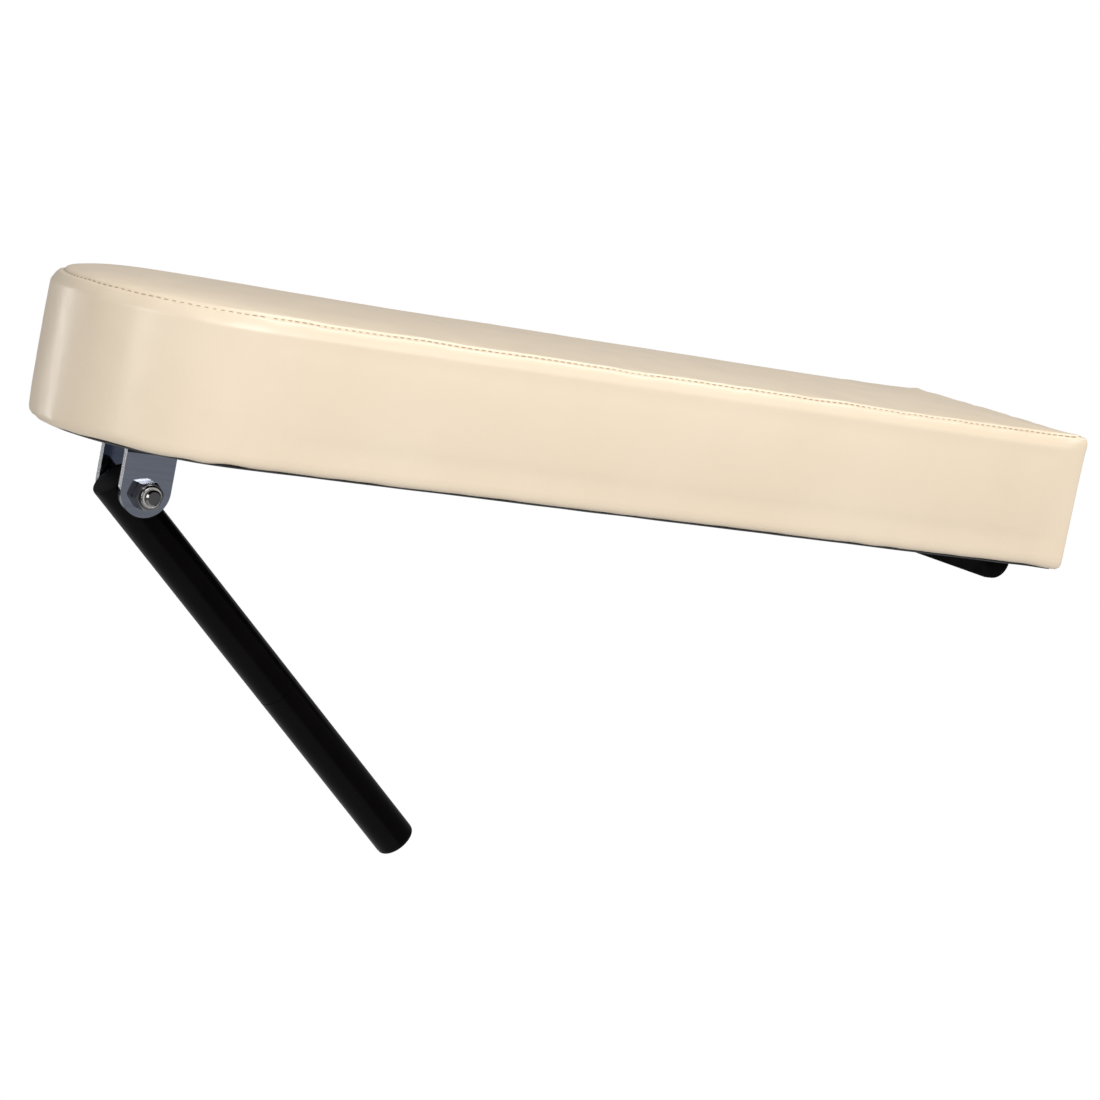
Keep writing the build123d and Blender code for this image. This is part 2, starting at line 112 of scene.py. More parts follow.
SEAM_DEPTH = 1.8 * MM
SEAM_WIDTH = 0.9 * MM
SEAM_GAP = 0.22 * MM  # each side of the seam draws back this much, so a dark line shows
SEAM_GAP_WIDTH = 2.0 * MM
SEAM_FOLD = 4.0 * MM  # seam allowance folded in under the skin
SEAM_FOLD_AIM = 30.0 * MM  # the allowance points towards the outline drawn in by this much
SEAM_WANDER = 0.35 * MM
SEAM_JITTER = 0.3 * MM
SEAM_WANDER_WIDTH = 7.0 * MM

STITCH_PITCH = 3.8 * MM
STITCH_LENGTH = 3.65 * MM
STITCH_RADIUS = 0.30 * MM
STITCH_LIFT = 0.56 * MM  # the thread's ends over the seam's lowest line
STITCH_BOW = 0.30 * MM  # its middle over its ends
STITCH_TIP = 0.35  # its ends' radius as a share of its middle's
STITCH_SIDES = 6
STITCH_RINGS = 7

WAVE = 0.35 * MM  # soft waves all over the skin
SMALL_WAVE = 0.10 * MM
RIPPLE = 0.75 * MM  # upright ripples round the round end
RIPPLE_RISE = 34.0 * MM  # they are strongest at this height, and fade over as much
RIPPLE_END = 20.0 * MM  # they end this far along the straight part, after fading over RIPPLE_FADE
RIPPLE_FADE = 40.0 * MM
DENT = 0.22 * MM
PUCKER = 0.28 * MM
PUCKER_WIDTH = 5.0 * MM
GATHER = 0.8 * MM  # gathers over the lower edge
GATHER_HEIGHT = 8.0 * MM

SIM_CELL = 5.0 * MM
SIM_FRAMES = 20
SIM_NEIGHBOURS = 12
SIM_BLUR = 1.3 * SIM_CELL
SIM_HELD = 2.0 * MM  # cloth is held up to this height over the board
SIM_FADE = 6.0 * MM  # and its moves come in over this height
SEAM_HOLD = 0.9
SLACK = 1.0 * MM  # the cloth starts this much inside the plain surface
SWELL_CAP = 5.0 * MM
SWELL_SHARE = 0.6  # how much of the simulated swelling this firm, tight cover shows

FOAM_STEP = 6.0 * MM
FOAM_CLEARANCE = 2.6 * MM

COVER_STEP = 2.4 * MM  # between the rows of the finished cover
FINEST_STEP = 0.3 * MM  # close to the seam
STEP_GROWTH = 1.25
STRAIGHT_STATIONS = 140
CORNER_STATIONS = 6
END_STATIONS = 42
ROUND_STATIONS = 70


# ---------------------------------------------------------------- plan and profile

def outline(inset):
    """Points of the pad's plan drawn in by inset, with the outward normal at each, near side first."""
    half, far = HALF - inset, END_X - inset
    corner = max(CORNER - inset, 0.2 * MM)
    points = []
    for i in range(STRAIGHT_STATIONS):
        t = i / STRAIGHT_STATIONS
        points.append((TURN_X + t * (far - corner - TURN_X), -half, 0.0, -1.0))
    for i in range(CORNER_STATIONS):
        a = math.radians(-90 + 90 * i / CORNER_STATIONS)
        points.append((far - corner + corner * math.cos(a), -half + corner + corner * math.sin(a),
                       math.cos(a), math.sin(a)))
    for i in range(END_STATIONS):
        t = i / END_STATIONS
        points.append((far, (half - corner) * (2 * t - 1), 1.0, 0.0))
    for i in range(CORNER_STATIONS):
        a = math.radians(90 * i / CORNER_STATIONS)
        points.append((far - corner + corner * math.cos(a), half - corner + corner * math.sin(a),
                       math.cos(a), math.sin(a)))
    for i in range(STRAIGHT_STATIONS):
        t = i / STRAIGHT_STATIONS
        points.append((far - corner + t * (TURN_X - far + corner), half, 0.0, 1.0))
    for i in range(ROUND_STATIONS):
        a = math.radians(90 + 180 * i / ROUND_STATIONS)
        points.append((TURN_X + half * math.cos(a), half * math.sin(a), math.cos(a), math.sin(a)))
    return points


def bell(value, width):
    """1 at zero, falling off smoothly over width on both sides."""
    return math.exp(-(value / width) ** 2)


def spread(start, end, step):
    """Evenly spaced values from start to end, about step apart, both ends included."""
    count = max(1, round(abs(end - start) / step))
    return [start + (end - start) * i / count for i in range(count + 1)]


def edge_point(angle):
    """A point of the side wall's upper edge, by how far it has turned: (inset, height over the wall)."""
    turn = min(angle, RIDGE_TURN)
    inset, height = RIDGE * (1 - math.cos(turn)), RIDGE * math.sin(turn)
    if angle > RIDGE_TURN:
        inset += SLOPE * (math.cos(RIDGE_TURN) - math.cos(angle))
        height += SLOPE * (math.sin(angle) - math.sin(RIDGE_TURN))
    return inset, height


SEAM_INSET, EDGE_HEIGHT = edge_point(SEAM_TURN)
WALL_TOP = TOP_Z - EDGE_HEIGHT


def panel_z(inset):
    """Height of the top panel, which rises quickly from the seam and then softly to the middle line."""
    into = inset - SEAM_INSET
    across = math.pi * into / (HALF - SEAM_INSET)
    rise = TOP_Z + PANEL_RISE * (1 - math.exp(-into / PANEL_REACH))
    return rise + CROWN * 0.5 * (1 - math.cos(across))


def band_profile(step):
    """The side band's profile as (inset, z), from the fold under the board up to the seam."""
    rows = [(inset, BASE_Z) for inset in spread(TURN_UNDER, BOTTOM_ROUND, step)]
    for a in spread(0, math.pi / 2, step / BOTTOM_ROUND)[1:]:
        rows.append((BOTTOM_ROUND * (1 - math.sin(a)), BASE_Z + BOTTOM_ROUND * (1 - math.cos(a))))
    rows += [(0.0, z) for z in spread(BASE_Z + BOTTOM_ROUND, WALL_TOP, step)[1:]]
    ridge = spread(0, RIDGE_TURN, 0.4 * step / RIDGE)[1:]
    for a in ridge + spread(RIDGE_TURN, SEAM_TURN, step / SLOPE)[1:]:
        inset, height = edge_point(a)
        rows.append((inset, WALL_TOP + height))
    return rows


def top_profile(step):
    """The top panel's profile as (inset, z), from the seam in to the middle line."""
    return [(inset, panel_z(inset)) for inset in spread(SEAM_INSET, HALF, step)]


def lengths(profile):
    """Distance along a profile at each of its rows."""
    total = [0.0]
    for (a, b), (c, d) in zip(profile, profile[1:]):
        total.append(total[-1] + math.hypot(c - a, d - b))
    return total


def normals(profile):
    """Outward normal of a profile at each row, as (towards the middle, up)."""
    found = []
    for i in range(len(profile)):
        (a, b), (c, d) = profile[max(i - 1, 0)], profile[min(i + 1, len(profile) - 1)]
        size = math.hypot(c - a, d - b) or 1.0
        found.append(((b - d) / size, (c - a) / size))
    return found


def refined(profile, near):
    """The profile with extra rows close to the distance near."""
    along = lengths(profile)
    wanted = set(along)
    for side in (-1, 1):
        gap, at = FINEST_STEP, near
        while gap < COVER_STEP:
            at += side * gap
            wanted.add(at)
            gap *= STEP_GROWTH
    rows = []
    for at in sorted(d for d in wanted if along[0] <= d <= along[-1]):
        i = min(max(bisect.bisect_right(along, at) - 1, 0), len(along) - 2)
        t = (at - along[i]) / (along[i + 1] - along[i])
        rows.append(tuple(p + (q - p) * t for p, q in zip(profile[i], profile[i + 1])))
    return rows


# ---------------------------------------------------------------- meshes

def placed(profile, offset):
    """Vertices of the grid: a list of rows, each a list of points. offset(row, point) is how far the skin
    stands out there, along its own normal. The cloth's gathers at the square corners are put in here."""
    grid = []
    for j, ((inset, z), (inward, up)) in enumerate(zip(profile, normals(profile))):
        row = []
        drawn_out = min(inset, SEAM_INSET) * math.exp(-max(inset - SEAM_INSET, 0) / CORNER_FADE)
        for x, y, nx, ny in outline(inset):
            from_corner = math.hypot(END_X - x, HALF - abs(y))
            if z > WALL_TOP:
                pull = drawn_out * bell(from_corner, CORNER_REACH)
                x, y = x + nx * pull, y + ny * pull
            stand = CORNER_STAND * bell(from_corner, CORNER_WIDTH)
            x, y = x + stand, y + math.copysign(stand, y)
            out = offset(j, Vector((x, y, z)))
            foot = CORNER_DROP * bell(from_corner, CORNER_WIDTH) * bell(z - BASE_Z, CORNER_FOOT)
            row.append(Vector((x - nx * inward * out, y - ny * inward * out, z + up * out - foot)))
        grid.append(row)
    return grid


def grid_faces(rows, stations):
    """Quads between neighbouring rows of closed loops."""
    faces = []
    for j in range(rows - 1):
        for i in range(stations):
            k = (i + 1) % stations
            a, b = j * stations, (j + 1) * stations
            faces.append((a + i, a + k, b + k, b + i))
    return faces


def new_object(name, vertices, faces, smooth=True):
    mesh = bpy.data.meshes.new(name)
    mesh.from_pydata([tuple(v) for v in vertices], [], faces)
    mesh.update()
    obj = bpy.data.objects.new(name, mesh)
    bpy.context.scene.collection.objects.link(obj)
    if smooth:
        mesh.polygons.foreach_set("use_smooth", [True] * len(mesh.polygons))
    return obj


def tidy_mesh(obj, merge):
    """Merge the points that meet on the middle line and face every side outwards."""
    bm = bmesh.new()
    bm.from_mesh(obj.data)
    bmesh.ops.remove_doubles(bm, verts=bm.verts, dist=merge)
    bmesh.ops.dissolve_degenerate(bm, edges=bm.edges, dist=merge * 0.5)
    bmesh.ops.recalc_face_normals(bm, faces=bm.faces)
    bm.to_mesh(obj.data)
    bm.free()
    obj.data.polygons.foreach_set("use_smooth", [True] * len(obj.data.polygons))
    return obj


def grid_object(name, grid, merge):
    """An object from a grid of points."""
    points = [p for row in grid for p in row]
    return tidy_mesh(new_object(name, points, grid_faces(len(grid), len(grid[0]))), merge)


def apply_modifiers(obj):
    """Replace the object's mesh with what its modifiers make of it."""
    depsgraph = bpy.context.evaluated_depsgraph_get()
    mesh = bpy.data.meshes.new_from_object(obj.evaluated_get(depsgraph))
    obj.modifiers.clear()
    obj.data = mesh
    return obj


# ---------------------------------------------------------------- cloth simulation

def plain_form(step, offset):
    """A closed grid of the whole pad: fold, side, top and a flat underside."""
    profile = band_profile(step) + top_profile(step)[1:]
    profile = [(inset, BASE_Z) for inset in spread(HALF, TURN_UNDER, step)[:-1]] + profile
    return grid_object("cloth_form", placed(profile, offset), 0.1 * MM)


def near_seam(point):
    """How far a point of the plain surface lies from the seam, measured across it."""
    to_end = END_X - point.x
    radius = HALF - math.hypot(point.x - TURN_X, point.y) if point.x < TURN_X else HALF - abs(point.y)
    return math.hypot(min(radius, to_end) - SEAM_INSET, point.z - TOP_Z)


def swollen():
    """Simulate the cover as a closed cloth under pressure, held at the board and mostly held at the seam.
    Returns a search tree of the cloth's first shape and the move of each of its points."""
    form = plain_form(SIM_CELL, lambda j, p: -SLACK if p.z > FOAM_Z else 0.0)
    remesh = form.modifiers.new("even", "REMESH")
    remesh.mode = "VOXEL"
    remesh.voxel_size = SIM_CELL
    apply_modifiers(form)
    first = [v.co.copy() for v in form.data.vertices]
    tree = KDTree(len(first))
    for i, point in enumerate(first):
        tree.insert(point, i)
    tree.balance()
    held = form.vertex_groups.new(name="held")
    for i, point in enumerate(first):
        if point.z < FOAM_Z + SIM_HELD:
            held.add([i], 1.0, "REPLACE")
        elif near_seam(point) < 0.8 * SIM_CELL:
            held.add([i], SEAM_HOLD, "REPLACE")
    cloth = form.modifiers.new("cloth", "CLOTH")
    cloth.settings.quality = 6
    cloth.settings.mass = 0.25
    cloth.settings.tension_stiffness = 30
    cloth.settings.compression_stiffness = 20
    cloth.settings.shear_stiffness = 12
    cloth.settings.bending_stiffness = 6
    cloth.settings.use_pressure = True
    cloth.settings.uniform_pressure_force = 4.0
    cloth.settings.effector_weights.gravity = 0.0
    cloth.settings.vertex_group_mass = "held"
    cloth.point_cache.frame_end = SIM_FRAMES
    scene = bpy.context.scene
    for frame_number in range(1, SIM_FRAMES + 1):
        scene.frame_set(frame_number)
    apply_modifiers(form)
    moves = []
    for vertex, point in zip(form.data.vertices, first):
        move = vertex.co - point
        size = max(move.length, 1e-9)
        moves.append(move * (SWELL_CAP * math.tanh(size / SWELL_CAP) / size))
    bpy.data.objects.remove(form, do_unlink=True)
    scene.frame_set(1)
    return tree, moves


SIM_TREE, SIM_MOVES = swollen()


def sim_move(point):
    """The simulated move near a point: a soft average over the nearest points of the cloth."""
    total, weight = Vector(), 0.0
    for _, index, distance in SIM_TREE.find_n(point, SIM_NEIGHBOURS):
        share = math.exp(-(distance / SIM_BLUR) ** 2)
        total += SIM_MOVES[index] * share
        weight += share
    held = min(max((point.z - FOAM_Z) / SIM_FADE, 0.0), 1.0)
    return total * (SWELL_SHARE * held / max(weight, 1e-9))


# ---------------------------------------------------------------- cover details

SEAM_AT = lengths(band_profile(COVER_STEP))[-1]


def unevenness(point, from_seam):
    """Small lifts and dips of the skin: soft waves, upright ripples and dents round the round end, puckers
    at the seam, gathers over the lower edge."""
    flat = Vector((point.x, point.y, 0))
    rise = point.z - BASE_Z
    lift = WAVE * noise.noise(point * 14)
    lift += SMALL_WAVE * noise.noise(point * 50 + Vector((3, 1, 7)))
    if from_seam < 0 and point.x < TURN_X + RIPPLE_END:
        turn = math.atan2(point.y, TURN_X - point.x)
        share = min(1.0, (TURN_X + RIPPLE_END - point.x) / RIPPLE_FADE)
        wander = 0.25 * noise.noise(point * 18)
        ripple = noise.noise(Vector((turn * 4.2 + wander, 0.3 * rise / MM / 30, 2.5)))
        lift += RIPPLE * share * ripple * (0.4 + 0.6 * bell(rise - RIPPLE_RISE, RIPPLE_RISE))
        lift += DENT * share * noise.noise(point * 70 + Vector((2, 6, 1)))
    pucker = noise.noise(flat * 120 + Vector((9, 2, 4)))
    lift += PUCKER * pucker * math.exp(-abs(from_seam) / PUCKER_WIDTH)
    if from_seam < 0:
        at_round_end = 1.0 if point.x < TURN_X else 0.4
        gather = noise.noise(flat * 75 + Vector((5, 5, 1)))
        lift += GATHER * at_round_end * gather * math.exp(-max(rise, 0) / GATHER_HEIGHT)
    return lift


def corner_ear(point):
    """The move that draws the cover out to a small point at the square end's two upper corners."""
    side = 1.0 if point.y > 0 else -1.0
    away = (point - Vector((END_X, side * HALF, TOP_Z))).length
    return Vector((0.30, 0.30 * side, 0.90)) * (EAR * bell(away, EAR_WIDTH))


def round_end_rise(point):
    """The panel stands fuller over the round end, and less and less along the pad."""
    into = max(near_seam(point), 0.0) if point.z > TOP_Z - MM else 0.0
    share = 1 / (1 + math.exp((point.x - TURN_X - ROUND_END_REACH) / ROUND_END_FADE))
    return Vector((0, 0, ROUND_END_RISE * share * (1 - math.exp(-into / ROUND_END_ROLL))))


def seam_wander(point, from_seam):
    """The seam isn't quite straight: it wanders up and down a little."""
    flat = Vector((point.x, point.y, 0))
    drop = SEAM_WANDER * noise.noise(flat * 30 + Vector((1, 8, 3))) + SEAM_JITTER * noise.noise(flat * 110)
    return Vector((0, 0, drop * bell(from_seam, SEAM_WANDER_WIDTH)))


def end_bow(point):
    """The square end's top edge bows up a little between its two corners."""
    across = max(0.0, 1 - (point.y / HALF) ** 2) ** 0.5
    near_end = bell(END_X - point.x, END_BOW_WIDTH)
    return Vector((0, 0, END_BOW * across * near_end * bell(TOP_Z - point.z, END_BOW_DEPTH)))


def seam_dip(from_seam):
    """The narrow valley along the seam."""
    return -SEAM_DEPTH * math.exp(-(abs(from_seam) / SEAM_WIDTH) ** 1.3)


def cover_grid(profile, panel):
    """Grid of the finished skin over one profile: the top panel's, which starts at the seam, or else the
    side band's, which ends there."""
    from_seam = [(SEAM_AT if panel else 0.0) + d - SEAM_AT for d in lengths(profile)]

    def offset(j, point):
        return seam_dip(from_seam[j]) + unevenness(point, from_seam[j])

    grid = placed(profile, offset)
    for j, row in enumerate(grid):
        for i, point in enumerate(row):
            shaped = point + sim_move(point) + corner_ear(point) + end_bow(point)
            if panel:
                shaped += round_end_rise(point)
            gap = SEAM_GAP if panel else -SEAM_GAP
            shaped += Vector((0, 0, gap * bell(from_seam[j], SEAM_GAP_WIDTH)))
            row[i] = shaped + seam_wander(point, from_seam[j])
    return grid


def folded_in(row):
    """The seam allowance: the edge row repeated, each one further down and in."""
    inner = [Vector((x, y, p.z)) for (x, y, _, _), p in zip(outline(SEAM_FOLD_AIM), row)]
    rows = []
    for share in (0.35, 1.0):
        rows.append([p + (q - p).normalized() * SEAM_FOLD * share * 0.6 - Vector((0, 0, SEAM_FOLD * share))
                     for p, q in zip(row, inner)])
    return rows


def thickened(obj):
    """The sheet given the skin's thickness, inwards."""
    solid = obj.modifiers.new("skin", "SOLIDIFY")
    solid.thickness = SKIN
    solid.offset = -1
    return apply_modifiers(obj)


def make_side_band():
    """The band of cover round the pad's side, turned in at the seam and folded under the board."""
    grid = cover_grid(refined(band_profile(COVER_STEP), SEAM_AT), False)
    seam_line = grid[-1]
    grid += folded_in(seam_line)
    return thickened(grid_object("cover_band", grid, 0.005 * MM)), seam_line


def make_top_panel():
    """The crowned top panel, turned down at the seam."""
    grid = cover_grid(refined(top_profile(COVER_STEP), 0.0), True)
    grid = folded_in(grid[0])[::-1] + grid
    return thickened(grid_object("cover_top", grid, 0.05 * MM))


def make_foam():
    """The foam block inside the cover, cut back along the seam allowance."""
    side = [(inset, z) for inset, z in band_profile(FOAM_STEP) if z > FOAM_Z + MM][:-1]
    top = [(inset, z) for inset, z in top_profile(FOAM_STEP) if inset > 2 * SEAM_INSET]
    base = [(inset, FOAM_Z + 0.1 * MM) for inset in spread(HALF, 3 * MM, 2 * FOAM_STEP)]
    grid = placed(base + side + top, lambda j, p: -FOAM_CLEARANCE if p.z > FOAM_Z + MM else 0.0)
    return grid_object("foam_core", grid, 0.05 * MM)


def make_stitches(seam_line):
    """Lock stitches along the seam: a short bowed bar of thread each, its ends in the seam's valley."""
    sides, rings = STITCH_SIDES, STITCH_RINGS
    closed = seam_line + [seam_line[0]]
    along = [0.0]
    for a, b in zip(closed, closed[1:]):
        along.append(along[-1] + (b - a).length)

    def at(distance):
        distance %= along[-1]
        i = min(bisect.bisect_right(along, distance) - 1, len(closed) - 2)
        t = (distance - along[i]) / max(along[i + 1] - along[i], 1e-9)
        return closed[i].lerp(closed[i + 1], t)

    vertices, faces = [], []
    for number in range(int(along[-1] / STITCH_PITCH)):
        middle = number * STITCH_PITCH
        a, b = at(middle - STITCH_LENGTH / 2), at(middle + STITCH_LENGTH / 2)
        forward = (b - a).normalized()
        out = Vector((forward.y, -forward.x, 0.0)).normalized()
        out = (out + Vector((0, 0, 0.9))).normalized()
        across = forward.cross(out)
        first = len(vertices)
        for ring in range(rings):
            t = ring / (rings - 1)
            bow = math.sin(math.pi * t)
            centre = a.lerp(b, t) + out * (STITCH_LIFT + STITCH_BOW * bow)
            size = STITCH_RADIUS * (STITCH_TIP + (1 - STITCH_TIP) * bow ** 0.5)
            for side in range(sides):
                turn = math.tau * side / sides
                vertices.append(centre + (across * math.cos(turn) + out * math.sin(turn)) * size)
        for ring in range(rings - 1):
            for side in range(sides):
                k = (side + 1) % sides
                p, q = first + ring * sides, first + (ring + 1) * sides
                faces.append((p + side, p + k, q + k, q + side))
        faces.append(tuple(first + side for side in reversed(range(sides))))
        faces.append(tuple(first + (rings - 1) * sides + side for side in range(sides)))
    obj = new_object("seam_thread", vertices, faces)
    return tidy_mesh(obj, 0.001 * MM)


def make_dust_cloth():
    """The black cloth stapled under the board, with a thin folded hem and slight waves between staples."""
    hem, edge, taper = 16 * MM, HALF - dust_high.y, 4 * MM
    fold = 0.25 * MM  # radius of the fold at the cloth's edge
    upper = [(inset, dust_high.z) for inset in spread(HALF, edge + fold, 8 * MM)]
    rounded = [(edge + fold * (1 - math.sin(a)), dust_high.z - fold * (1 - math.cos(a)))
               for a in spread(0, math.pi, 0.5)]
    fold_bottom = dust_high.z - 2 * fold
    lower = [(edge + fold + taper * t, fold_bottom + (dust_low.z - dust_high.z + 2 * fold) * t)
             for t in (0.33, 0.66, 1.0)]
    hem_start, hem_end = edge + fold + taper + MM, edge + hem - 0.5 * MM
    lower += [(inset, dust_low.z) for inset in spread(hem_start, hem_end, 2.5 * MM)]
    lower += [(inset, dust_low.z + 0.35 * MM) for inset in spread(edge + hem + 0.4 * MM, HALF, 4 * MM)]
    profile = upper + rounded + lower
    first_lower = len(upper) + len(rounded)

    def offset(j, point):
        if j < first_lower:
            return 0.0
        return -0.16 * MM * (1 + noise.noise(point * 45))

    return grid_object("dust_cloth", placed(profile, offset), 0.03 * MM)


# ---------------------------------------------------------------- materials

def link(tree, a, b):
    tree.links.new(a, b)


def start_material(name, stretch=(1, 1, 1)):
    """A new material with its shader and object coordinates, stretched as asked."""
    material = bpy.data.materials.new(name)
    material.use_nodes = True
    tree = material.node_tree
    shader = tree.nodes["Principled BSDF"]
    coords = tree.nodes.new("ShaderNodeTexCoord")
    mapping = tree.nodes.new("ShaderNodeMapping")
    mapping.inputs["Scale"].default_value = stretch
    link(tree, coords.outputs["Object"], mapping.inputs["Vector"])
    return material, tree, shader, mapping.outputs["Vector"]


def noise_node(tree, vector, scale, detail=3.0, roughness=0.55):
    """A noise texture's value, 0 to 1."""
    node = tree.nodes.new("ShaderNodeTexNoise")
    node.inputs["Scale"].default_value = scale
    node.inputs["Detail"].default_value = detail
    node.inputs["Roughness"].default_value = roughness
    link(tree, vector, node.inputs["Vector"])
    return node.outputs["Fac"]


def cell_node(tree, vector, scale, feature="F1"):
    """A cell texture's distance."""
    node = tree.nodes.new("ShaderNodeTexVoronoi")
    node.feature = feature
    node.inputs["Scale"].default_value = scale
    link(tree, vector, node.inputs["Vector"])
    return node.outputs["Distance"]


def ramp(tree, value, low, high):
    """Map a texture's middle range onto low..high."""
    node = tree.nodes.new("ShaderNodeMapRange")
    node.inputs["From Min"].default_value = 0.3
    node.inputs["From Max"].default_value = 0.7
    node.inputs["To Min"].default_value = low
    node.inputs["To Max"].default_value = high
    link(tree, value, node.inputs["Value"])
    return node.outputs["Result"]


def blend_colours(tree, factor, first, second):
    """The colour first where factor is 0, second where it is 1."""
    node = tree.nodes.new("ShaderNodeMix")
    node.data_type = "RGBA"
    node.inputs[6].default_value = (*first, 1)
    node.inputs[7].default_value = (*second, 1)
    link(tree, factor, node.inputs[0])
    return node.outputs[2]


def add_bumps(tree, shader, *layers):
    """Stack bumps on the shader, each (height, depth in metres)."""
    normal = None
    for height, depth in layers:
        bump = tree.nodes.new("ShaderNodeBump")
        bump.inputs["Strength"].default_value = 1.0
        bump.inputs["Distance"].default_value = depth
        link(tree, height, bump.inputs["Height"])
        if normal is not None:
            link(tree, normal, bump.inputs["Normal"])
        normal = bump.outputs["Normal"]
    link(tree, normal, shader.inputs["Normal"])


def coated_fabric():
    """Cream coated upholstery fabric: fine pebble grain, satin shine, faint tone changes."""
    material, tree, shader, vector = start_material("coated_fabric")
    tone = noise_node(tree, vector, 9, 4)
    link(tree, blend_colours(tree, ramp(tree, tone, 0, 1), (0.80, 0.665, 0.495), (0.84, 0.71, 0.54)),
         shader.inputs["Base Color"])
    link(tree, ramp(tree, noise_node(tree, vector, 60, 3), 0.30, 0.38), shader.inputs["Roughness"])
    shader.inputs["Specular IOR Level"].default_value = 0.5
    shader.inputs["Coat Weight"].default_value = 0.15
    shader.inputs["Coat Roughness"].default_value = 0.20
    add_bumps(tree, shader,
              (cell_node(tree, vector, 900, "DISTANCE_TO_EDGE"), 0.03 * MM),
              (noise_node(tree, vector, 330, 3, 0.55), 0.05 * MM),
              (noise_node(tree, vector, 70, 2), 0.06 * MM))
    return material


def plain_finish(name, first, second, rough, metallic=0.0, patch=25, grain=900, depth=0.02,
                 stretch=(1, 1, 1), specular=0.5):
    """A finish from two close tones, a roughness range and a fine grain, its depth in millimetres."""
    material, tree, shader, vector = start_material(name, stretch)
    tone = ramp(tree, noise_node(tree, vector, patch, 4), 0, 1)
    link(tree, blend_colours(tree, tone, first, second), shader.inputs["Base Color"])
    link(tree, ramp(tree, noise_node(tree, vector, patch * 5, 3), *rough), shader.inputs["Roughness"])
    shader.inputs["Metallic"].default_value = metallic
    shader.inputs["Specular IOR Level"].default_value = specular
    add_bumps(tree, shader, (noise_node(tree, vector, grain, 3), depth * MM))
    return material


def painted_edge_highlight(material, colour):
    """Paints a highlight on a plate's cut edges and bends: every face that doesn't look across the part.
    The light colour stands in for the white surroundings that these polished edges reflect.
    """
    tree = material.node_tree
    socket = next(n for n in tree.nodes if n.type == "BSDF_PRINCIPLED").inputs["Base Color"]
    face_colour = socket.links[0].from_socket
    apart = tree.nodes.new("ShaderNodeSeparateXYZ")
    link(tree, tree.nodes.new("ShaderNodeTexCoord").outputs["Normal"], apart.inputs["Vector"])
    size = tree.nodes.new("ShaderNodeMath")
    size.operation = "ABSOLUTE"
    link(tree, apart.outputs["Y"], size.inputs[0])
    blend = blend_colours(tree, ramp(tree, size.outputs["Value"], 0, 1), colour, colour)
    link(tree, face_colour, blend.node.inputs[7])
    link(tree, blend, socket)
    return material


def nonwoven():
    """Black spunbond cloth with its small bonded dots."""
    material, tree, shader, vector = start_material("black_nonwoven")
    dots = cell_node(tree, vector, 520)
    link(tree, blend_colours(tree, ramp(tree, dots, 0, 1), (0.006, 0.006, 0.007), (0.022, 0.022, 0.024)),
         shader.inputs["Base Color"])
    shader.inputs["Roughness"].default_value = 0.85
    shader.inputs["Sheen Weight"].default_value = 0.15
    shader.inputs["Specular IOR Level"].default_value = 0.15
    add_bumps(tree, shader, (dots, 0.12 * MM), (noise_node(tree, vector, 900, 4), 0.08 * MM))
    return material


def plywood():
    """Birch plywood: layers across its thickness, long grain along its faces."""
    material, tree, shader, vector = start_material("birch_plywood", (1, 14, 1))
    layers = tree.nodes.new("ShaderNodeTexWave")
    layers.bands_direction = "Z"
    layers.inputs["Scale"].default_value = 140
    link(tree, vector, layers.inputs["Vector"])
    grain = noise_node(tree, vector, 30, 6, 0.7)
    mixed = tree.nodes.new("ShaderNodeMath")
    mixed.operation = "MULTIPLY_ADD"
    mixed.inputs[1].default_value = 0.5
    link(tree, layers.outputs["Fac"], mixed.inputs[0])
    link(tree, grain, mixed.inputs[2])
    tone = ramp(tree, mixed.outputs[0], 0, 1)
    link(tree, blend_colours(tree, tone, (0.42, 0.27, 0.14), (0.66, 0.49, 0.30)), shader.inputs["Base Color"])
    shader.inputs["Roughness"].default_value = 0.65
    add_bumps(tree, shader, (grain, 0.15 * MM))
    return material


def foam():
    """Open-cell foam."""
    material, tree, shader, vector = start_material("open_cell_foam")
    cells = cell_node(tree, vector, 700)
    link(tree, blend_colours(tree, ramp(tree, cells, 0, 1), (0.62, 0.55, 0.36), (0.86, 0.80, 0.60)),
         shader.inputs["Base Color"])
    shader.inputs["Roughness"].default_value = 0.95
    add_bumps(tree, shader, (cells, 0.5 * MM))
    return material


def dress(material, *names):
    """Give a material to pieces or CAD nodes."""
    for name in names:
        obj = bpy.data.objects[name]
        obj.data.materials.clear()
        obj.data.materials.append(material)


# ---------------------------------------------------------------- pieces

band, seam_line = make_side_band()
top = make_top_panel()
core = make_foam()
thread = make_stitches(seam_line)
dust = make_dust_cloth()

for piece, node, slot in (
    (band, "cover_side_band", "cover"),
    (top, "cover_top_panel", "cover"),
    (core, "foam_block", "foam"),
    (dust, "dust_cover", "dust_cover"),
):
    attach(piece, "pad")
    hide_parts(node)
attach(thread, "pad")

dress(coated_fabric(), "cover_band", "cover_top")
# The thread's brown, darker than the cloth, is partly its own colour and partly painted shade for the seam's
# valley.
dress(plain_finish("thread_and_seam_shade", (0.36, 0.28, 0.19), (0.46, 0.37, 0.26), (0.6, 0.8),
                   grain=2500, depth=0.05), "seam_thread")
dress(foam(), "foam_core")
dress(nonwoven(), "dust_cloth")
dress(plywood(), "base_board")
# Painted reflection: the steel's blue-grey tint stands in for the dim blue-grey surroundings that the
# polished bracket reflects.
steel_with_painted_reflection = plain_finish("polished_steel", (0.36, 0.39, 0.47), (0.42, 0.45, 0.53), (0.05, 0.11),
                             metallic=1.0, patch=40, grain=400, depth=0.002, stretch=(1, 1, 14))
